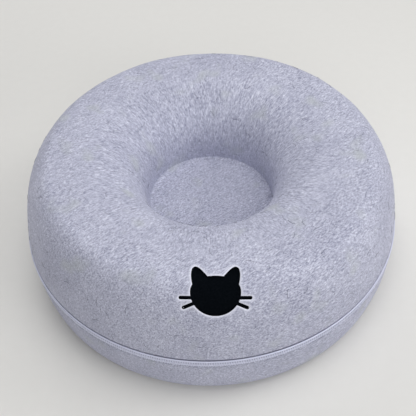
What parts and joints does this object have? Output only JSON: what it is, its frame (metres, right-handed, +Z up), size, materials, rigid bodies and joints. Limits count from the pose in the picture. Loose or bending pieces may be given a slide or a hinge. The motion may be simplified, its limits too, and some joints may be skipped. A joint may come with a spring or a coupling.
{
  "type": "felt donut cat tunnel",
  "caption": "Round ring-shaped pet tunnel of moulded felt: a hollow ring with a sunken nest in its middle, closed by a zip round its side, with a doorway at the back.",
  "frame": {"origin": "middle of the base, on the surface that the tunnel stands on", "axes": "+Z up out of the nest, -Y the way the cat's head at the front looks, +X to the right seen from the front"},
  "size_m": [0.6016, 0.6016, 0.205],
  "materials": {
    "felt": "moulded needle felt, heathered lavender grey",
    "black_felt": "thin black felt",
    "zip_tape": "woven tape in the felt's colour",
    "zip_coil": "nylon coil in the felt's colour",
    "slider_metal": "satin grey paint"
  },
  "bodies": {
    "root": {"cover": "felt", "tray": "felt", "motif_backing": "black_felt", "zip_tape_upper": "zip_tape", "zip_tape_lower": "zip_tape", "zip_coil": "zip_coil", "zip_slider": "slider_metal", "zip_pull": "slider_metal"}
  },
  "joints": []
}
